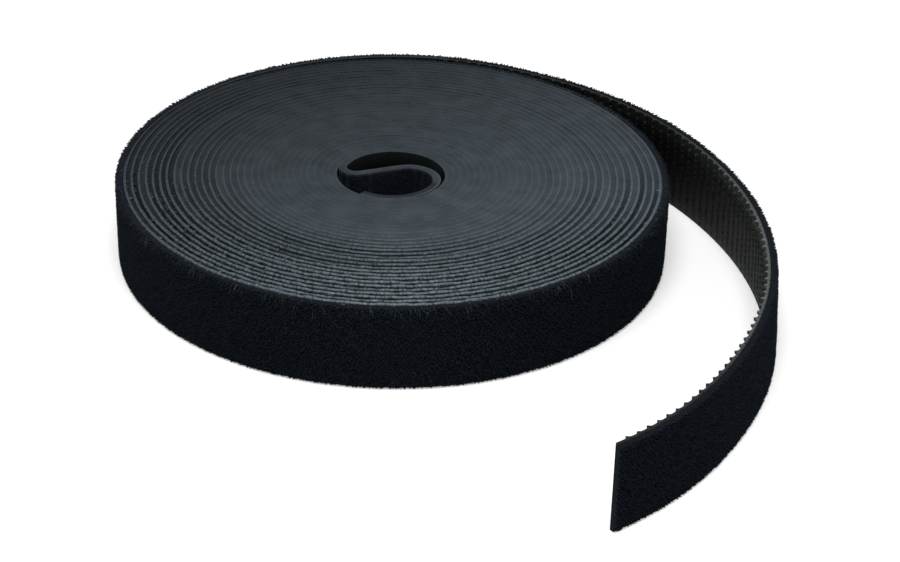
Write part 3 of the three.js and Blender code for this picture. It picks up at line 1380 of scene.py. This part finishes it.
@dataclass
class WoundRoll(TapeLength):
    """The wound tape, from its S-shaped inner end to where the tail starts to bend.

    Attributes:
        fibre: Finish of the loose fibres.
        cut_end: Finish of the short cut ends on the top edge.
        end: Distance along the tape where the tail's first length takes over.
        wall_pieces: Number of lengths of the wall's pile.
        wall_turns: Turns before the peel line at which the wall's pile starts.
        lift_turns: Turns before the peel line between which the tape over the pile lifts off.
        fine_run: Length of the first turns that are modelled more finely.
    """

    fibre: Material
    cut_end: Material
    end: float
    wall_pieces: int = 3
    wall_turns: float = 1.16
    lift_turns: tuple[float, float] = (1.24, 1.0)
    fine_run: float = 60.0 * MM

    def build(self) -> None:
        """Make the wound pieces and hand them to the roll's body."""
        inner_to = self.route.spiral_start + self.fine_run
        film_stations = np.concatenate(
            (stations_between(0.0, inner_to, 0.35 * MM)[:-1], self.closer_at_front(inner_to))
        )
        film = HookFilm().flat("wound_hook_film", film_stations, self.route)
        film_piece = self.hook_side(film)
        cut_hooks = SlitHooks().flat("wound_cut_hooks", inner_to, self.end, self.route)
        hooks = (self.hook_side(cut_hooks), *self.eye_hooks())
        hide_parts("winding_hook_web")
        ground_stations = np.concatenate(
            (
                stations_between(0.0, inner_to, 0.30 * MM)[:-1],
                stations_between(inner_to, self.end, 0.42 * MM),
            )
        )
        ground = LoopGround().flat("wound_loop_ground", ground_stations, self.route)
        ground_piece = self.loop_side(ground)
        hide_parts("winding_loop_web")
        low_pile = Pile(valley=0.36 * MM, low=0.14 * MM, high=0.36 * MM, crest=0.0)
        eye_pile = low_pile.flat("eye_pile", 13.2 * MM, self.route.spiral_start - 1.5 * MM)
        eye_pile = self.loop_side(eye_pile)
        fuzz = (eye_pile, *self.wall(), *self.loose_fibres())
        for piece in (film_piece, *hooks, ground_piece, *fuzz):
            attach(piece, "roll")

    def closer_at_front(self, start: float) -> np.ndarray:
        """Distances along the wound tape that lie closer where the turns are loose.

        Args:
            start: First distance.

        Returns:
            The distances, up to the end of the wound tape.
        """
        along = stations_between(start, self.end, 0.1 * MM)
        loose = self.route.loose_at(along, HookFilm.flush_radius, HookFilm.round_radius)
        spacing = np.interp(loose, (0.1, 0.5), (1.0 * MM, 0.5 * MM))
        steps = np.concatenate(([0.0], np.cumsum(np.diff(along) / spacing[1:])))
        return np.interp(np.linspace(0.0, steps[-1], math.ceil(steps[-1])), steps, along)

    def eye_hooks(self) -> list[bpy.types.Object]:
        """Hooks that stand free in the eye, on the S and on the first turn.

        Returns:
            The hooks of the lobes and those of the narrow gap at the right.
        """
        rows = HookRows()
        first = self.route.spiral_start
        runs = {
            "eye_hooks": ((-13.0, -4.0), (3.0, 15.0), (37.0, 47.0)),
            "bend_hooks": ((-23.0, -13.0), (15.0, 31.0)),
        }
        tops = {"eye_hooks": TAPE_WIDTH - 3.5 * MM, "bend_hooks": TAPE_WIDTH - 2.2 * MM}
        pieces = []
        for name, spans in runs.items():
            columns = [rows.columns(first + low * MM, first + high * MM) for low, high in spans]
            hooks = rows.flat(name, np.concatenate(columns), 1.3, tops[name])
            pieces.append(self.hook_side(hooks))
        return pieces

    def loose_fibres(self) -> list[bpy.types.Object]:
        """Fibres along the top edge and on the face of the outermost turn.

        Returns:
            The pieces.
        """
        start = self.route.peel - math.tau * self.route.last_radius
        fringe = Fibres(71).fringe("wall_fringe", start, self.end, 0.20 * MM)
        strays = Fibres(72, 0.018 * MM).strays("wall_strays", start, self.end, 0.14 * MM)
        cut_from = 0.3 * self.end
        cut_ends = Fibres(73, 0.045 * MM).cut_ends("wound_cut_ends", cut_from, self.end, self.route)
        return [
            cut_ends.wind(self.route, self.cut_end, TapeSide.LOOP),
            fringe.wind(self.route, self.fibre, TapeSide.LOOP),
            self.loop_side(strays),
        ]

    def wall(self) -> list[bpy.types.Object]:
        """Free pile on the outermost turn, in a few lengths.

        Returns:
            The pieces.
        """
        turn = math.tau * self.route.last_radius
        start = self.route.peel - self.wall_turns * turn
        along = np.linspace(start, self.end, 200)
        opening = [self.route.peel - turns * turn for turns in self.lift_turns]
        opened = np.interp(along, opening, (0.0, 1.0))
        lifted = opened * opened * (3.0 - 2.0 * opened) * self.route.lift
        room = np.column_stack((along, 0.32 * MM + lifted + (opened >= 1.0) * 2.0 * MM))
        cuts = np.linspace(start, self.end, self.wall_pieces + 1)
        high_pile = Pile(valley=0.40 * MM, low=0.48 * MM, high=0.68 * MM)
        pieces = []
        for number, (low, high) in enumerate(zip(cuts[:-1], cuts[1:]), 1):
            flat = high_pile.flat(f"wall_pile_{number}", low, high, room)
            pieces.append(self.loop_side(flat))
        return pieces


@dataclass
class Tail(TapeLength):
    """The peeled tail: lengths of tape that each bend across one flexing line, and a tip.

    Attributes:
        lengths: Number of flexing lines.
        past: Distance past a flexing line at which the next length starts.
        bend: Half of the distance over which a length bends; not used.
        overhang: Length by which the pile reaches past the film at the cut end.
    """

    lengths: int = 7
    past: float = 8.9 * MM
    bend: float = 8.6 * MM
    overhang: float = 0.35 * MM

    def cut(self, number: int) -> float:
        """Distance along the tape where a length ends, the roll being number 0."""
        return self.route.hinge(number) + self.past

    def build(self) -> None:
        """Make every length of the tail."""
        for number in range(1, self.lengths + 1):
            pieces = self.length(f"tail_{number}", self.cut(number - 1), self.cut(number))
            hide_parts(f"tail_{number}_hook_web")
            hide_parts(f"tail_{number}_loop_web")
            hinge = self.route.hinge(number)
            heading = self.route.heading_at(hinge)
            centre = self.route.place(np.array(((hinge, 0.0, TAPE_WIDTH / 2),)))[0]
            for piece in pieces:
                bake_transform(piece)
        for piece in self.length("tail_tip", self.cut(self.lengths), self.route.tip):
            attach(piece, f"tail_{self.lengths}")

    def length(self, name: str, start: float, end: float) -> tuple[bpy.types.Object, ...]:
        """One length of the tail.

        Args:
            name: Name that its pieces start with.
            start: Distance along the tape where it starts.
            end: Distance along the tape where it ends.

        Returns:
            Film, hooks, ground, pile and stray fibres.
        """
        stations = stations_between(start, end, 0.4 * MM)
        film_end = min(end, self.route.tip - self.overhang)
        even = HookFilm(slit=Wobble(0.03 * MM, 1.1 * MM, 21), level=Wobble(0.0, 61.0 * MM, 22))
        film = even.flat(f"{name}_film", stations_between(start, film_end, 0.4 * MM), self.route)
        film = self.hook_side(film)
        rows = HookRows()
        columns = rows.columns(start, min(end, self.route.tip - 1.2 * MM))
        hooks = rows.flat(f"{name}_hooks", columns, 1.0, TAPE_WIDTH)
        hooks = self.hook_side(hooks)
        rim = np.array(
            (
                (-0.30 * MM, 0.06 * MM),
                (-0.30 * MM, TAPE_WIDTH - 0.08 * MM),
                (-0.02 * MM, TAPE_WIDTH - 0.08 * MM),
                (-0.02 * MM, 0.06 * MM),
            )
        )
        ground = FlatPiece.of(f"{name}_ground", bar(stations, rim))
        ground = self.loop_side(ground)
        pile = Pile(crest=0.24 * MM).flat(f"{name}_pile", start, end)
        pile = self.loop_side(pile)
        strays = Fibres(74, 0.018 * MM).strays(f"{name}_strays", start, end, 0.14 * MM)
        strays = self.loop_side(strays)
        return film, hooks, ground, pile, strays


@dataclass(frozen=True)
class PhotoCamera:
    """Camera at the photograph's place, 900 pixels wide."""

    place: Triple = (0.008596, -0.310093, 0.170013)
    pitch: float = 0.517
    roll: float = 0.027
    focal_pixels: float = 2336.3
    frame_width: int = 900
    sensor: float = 36.0

    def build(self) -> None:
        """Make the camera and show the scene through it."""
        data = bpy.data.cameras.new("photo_camera")
        data.sensor_width = self.sensor
        data.sensor_fit = "HORIZONTAL"
        data.lens = self.focal_pixels / self.frame_width * self.sensor
        data.clip_start = 0.01
        data.clip_end = 50.0
        camera = bpy.data.objects.new("photo_camera", data)
        bpy.context.scene.collection.objects.link(camera)
        tilt = Matrix.Rotation(math.pi / 2 - self.pitch, 4, "X")
        twist = Matrix.Rotation(self.roll, 4, "Z")
        camera.matrix_world = Matrix.Translation(self.place) @ tilt @ twist
        bpy.context.scene.camera = camera


@dataclass(frozen=True)
class SoftBox:
    """One large soft lamp that points at the roll."""

    name: str
    place: tuple[float, float, float]
    size: float
    energy: float

    def build(self) -> None:
        """Make the lamp."""
        data = bpy.data.lights.new(self.name, "AREA")
        data.shape = "DISK"
        data.size = self.size
        data.energy = self.energy
        lamp = bpy.data.objects.new(self.name, data)
        lamp.location = self.place
        lamp.rotation_euler = (-Vector(self.place)).to_track_quat("-Z", "Y").to_euler()
        bpy.context.scene.collection.objects.link(lamp)


@dataclass(frozen=True)
class Studio:
    """White floor, even white surroundings and soft lamps."""

    floor_size: float = 6.0
    surround: float = 0.32
    lamps: tuple[SoftBox, ...] = (
        SoftBox("key_softbox", (-0.02, -0.24, 0.74), 0.45, 4.9),
        SoftBox("left_softbox", (-0.45, 0.08, 0.18), 0.3, 0.35),
        SoftBox("right_softbox", (0.50, -0.05, 0.18), 0.3, 0.35),
    )

    def build(self) -> None:
        """Make the floor, the world and the lamps."""
        bm = bmesh.new()
        bmesh.ops.create_grid(bm, x_segments=8, y_segments=8, size=self.floor_size / 2)
        mesh = bpy.data.meshes.new("floor")
        bm.to_mesh(mesh)
        bm.free()
        mesh.materials.append(FloorFinish().material())
        floor = bpy.data.objects.new("floor", mesh)
        floor.location.z = -0.02 * MM
        bpy.context.scene.collection.objects.link(floor)
        world = bpy.data.worlds.new("white_studio")
        world.use_nodes = True
        nodes, links = world.node_tree.nodes, world.node_tree.links
        rays = nodes.new("ShaderNodeLightPath")
        level = nodes.new("ShaderNodeMapRange")
        level.inputs["To Min"].default_value = self.surround
        level.inputs["To Max"].default_value = 1.0
        links.new(rays.outputs["Is Camera Ray"], level.inputs["Value"])
        sky = nodes["Background"]
        sky.inputs["Color"].default_value = (1.0, 1.0, 1.0, 1.0)
        links.new(level.outputs["Result"], sky.inputs["Strength"])
        bpy.context.scene.world = world
        bpy.context.scene.view_settings.view_transform = "Standard"
        for lamp in self.lamps:
            lamp.build()


def corners(box: tuple[Vector, Vector]) -> list[list[float]]:
    """A box as plain lists."""
    return [list(corner) for corner in box]


def main() -> None:
    """Build the roll, its tail, the camera and the studio."""
    logging.basicConfig(level=logging.INFO, format="%(name)s %(message)s")
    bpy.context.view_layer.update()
    PhotoCamera().build()
    route = TapeRoute()
    LOG.info("tape: %.3f m wound, %.3f m in all", route.peel, route.tip)
    # Painted shade: the wound film's faces, which show in the eye, are darker than the tail film's.
    wound_film = FilmFinish(
        name="wound_film", face=(0.0042, 0.0056, 0.0056), edge=(0.0405, 0.0520, 0.0605)
    ).material()
    tail_film = FilmFinish(
        name="tail_film",
        face=(0.0098, 0.0115, 0.0106),
        edge=(0.044, 0.050, 0.047),
        # Painted light: the tail film is lighter towards its right end and darker, as painted shade,
        # towards its left.
        painted_light=PaintedLight(side=(1.0, 0.0, 0.0), reach=(0.042, 0.053)),
    ).material()
    pile = PileFinish().material()
    fibre = FibreFinish().material()
    cut_end = FibreFinish(
        name="cut_ends", dull=(0.05, 0.058, 0.060), bright=(0.19, 0.205, 0.20), common=(0.35, 0.65)
    ).material()
    tail = Tail(route, tail_film, pile)
    WoundRoll(route, wound_film, pile, fibre, cut_end, tail.cut(0)).build()
    tail.build()
    Studio().build()


if __name__ == "__main__":
    main()
